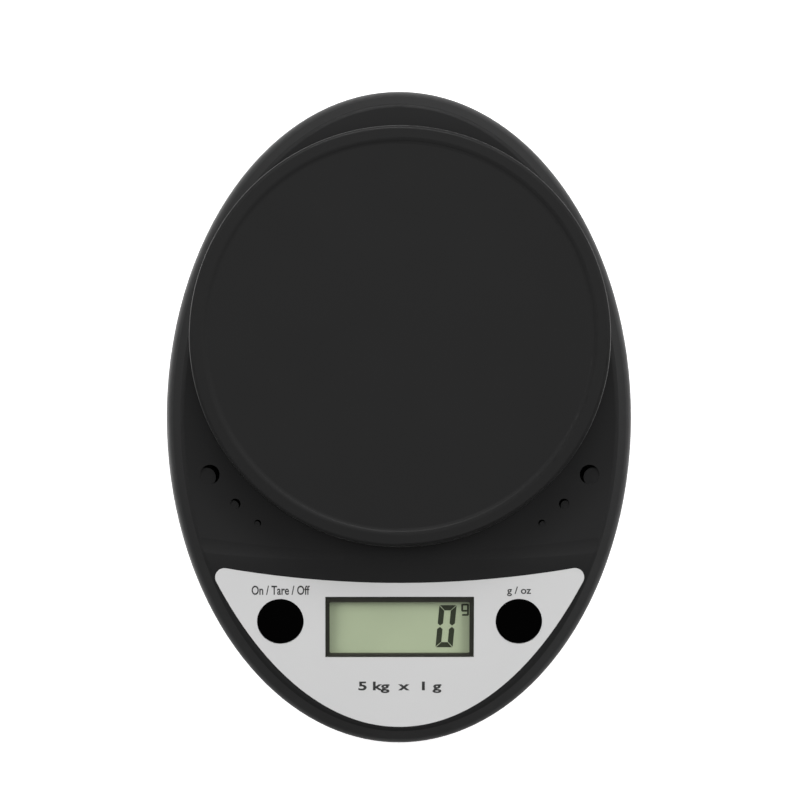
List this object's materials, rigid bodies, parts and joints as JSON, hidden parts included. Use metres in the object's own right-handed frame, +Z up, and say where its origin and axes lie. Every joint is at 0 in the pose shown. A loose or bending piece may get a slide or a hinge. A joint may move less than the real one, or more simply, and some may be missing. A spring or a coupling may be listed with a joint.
{
  "type": "digital portion scale",
  "caption": "Low oval digital scale with a round dished weighing platform, a tilted front panel with a display between push buttons, and a battery door underneath.",
  "frame": {"origin": "on the table, under the middle of the oval housing", "axes": "+X to the user's right, +Y away from the user towards the back, +Z up; the control panel faces -Y and up"},
  "size_m": [0.1524, 0.2134, 0.0381],
  "materials": {
    "housing_black": "black moulded plastic, fine satin grain",
    "platform_black": "black moulded plastic, satin",
    "carrier_black": "black glass-filled plastic",
    "door_black": "black moulded plastic, fine satin grain",
    "button_black": "deep black matte rubber-coated key",
    "panel_grey": "light grey printed polyester sheet, satin",
    "lens_clear": "clear acrylic window",
    "bezel_dark": "dark grey frame behind the window",
    "lcd_green": "reflective grey-green liquid crystal glass",
    "holder_white": "white plastic display holder",
    "zebra_rubber": "grey conductive rubber",
    "pcb_green": "green solder mask",
    "switch_black": "black switch body",
    "plunger_cream": "cream switch plunger",
    "epoxy_black": "black epoxy over the chip",
    "can_aluminium": "drawn aluminium can",
    "can_nickel": "nickel can",
    "ceramic_dark": "dark chip components",
    "screw_steel": "zinc-plated steel",
    "screw_black": "blackened steel",
    "cell_aluminium": "milled aluminium",
    "gauge_foil": "brown polyimide foil gauge",
    "coating_white": "white silicone",
    "spacer_steel": "steel shim",
    "grommet_rubber": "black rubber",
    "foot_rubber": "dark grey rubber",
    "label_silver": "blank silver label",
    "battery_jacket": "printed battery jacket on a metal cell",
    "contact_nickel": "nickel-plated spring steel",
    "foam_grey": "soft grey foam",
    "lead_red": "red insulation",
    "lead_black": "black insulation",
    "lead_green": "green insulation",
    "lead_white": "white insulation"
  },
  "bodies": {
    "base": {"battery_bridge_plate": "contact_nickel", "battery_contact_plates": "contact_nickel", "battery_front": "battery_jacket", "battery_lead_black": "lead_black", "battery_lead_red": "lead_red", "battery_rear": "battery_jacket", "battery_spring_front": "contact_nickel", "battery_spring_rear": "contact_nickel", "bottom_housing": "housing_black", "cob_chip": "epoxy_black", "crystal": "can_nickel", "display_lens": "lens_clear", "display_overlay": "panel_grey", "foot_front_left": "foot_rubber", "foot_front_right": "foot_rubber", "foot_rear_left": "foot_rubber", "foot_rear_right": "foot_rubber", "gauge_coating": "coating_white", "housing_screws": "screw_black", "lcd_bezel": "bezel_dark", "lcd_glass": "lcd_green", "lcd_holder": "holder_white", "load_cell": "cell_aluminium", "load_cell_base_screws": "screw_steel", "load_cell_lead_black": "lead_black", "load_cell_lead_green": "lead_green", "load_cell_lead_red": "lead_red", "load_cell_lead_white": "lead_white", "load_cell_spacer": "spacer_steel", "main_pcb": "pcb_green", "overload_stop_screws": "screw_black", "pcb_capacitors": "can_aluminium", "pcb_resistors": "ceramic_dark", "pcb_screws": "screw_steel", "strain_gauges": "gauge_foil", "tact_switch_left": "switch_black", "tact_switch_right": "switch_black", "top_housing": "housing_black", "underside_label": "label_silver", "zebra_strips": "zebra_rubber"},
    "platform": {"platform": "platform_black", "platform_carrier": "carrier_black", "platform_grommets": "grommet_rubber", "carrier_spacer": "spacer_steel", "carrier_screws": "screw_steel"},
    "left_button": {"button_left": "button_black", "plunger_left": "plunger_cream"},
    "right_button": {"button_right": "button_black", "plunger_right": "plunger_cream"},
    "battery_door": {"battery_door": "door_black", "door_latch_finger": "door_black", "door_foam_pad": "foam_grey"}
  },
  "joints": [
    {"name": "platform_travel", "type": "slide", "parent": "base", "child": "platform", "axis": [0, 0, -1], "range_m": [0, 0.0008], "stiffness_N_per_m": 98000, "deforming": ["load_cell", "gauge_coating", "strain_gauges"]},
    {"name": "left_button_press", "type": "slide", "parent": "base", "child": "left_button", "axis": [0, 0.225, -0.9744], "range_m": [0, 0.00035], "stiffness_N_per_m": 4000},
    {"name": "right_button_press", "type": "slide", "parent": "base", "child": "right_button", "axis": [0, 0.225, -0.9744], "range_m": [0, 0.00035], "stiffness_N_per_m": 4000},
    {"name": "battery_door_swing", "type": "hinge", "parent": "base", "child": "battery_door", "pos_m": [0, 0.0488, 0.002], "axis": [-1, 0, 0], "range_deg": [0, 75], "deforming": ["door_latch_finger"]}
  ]
}
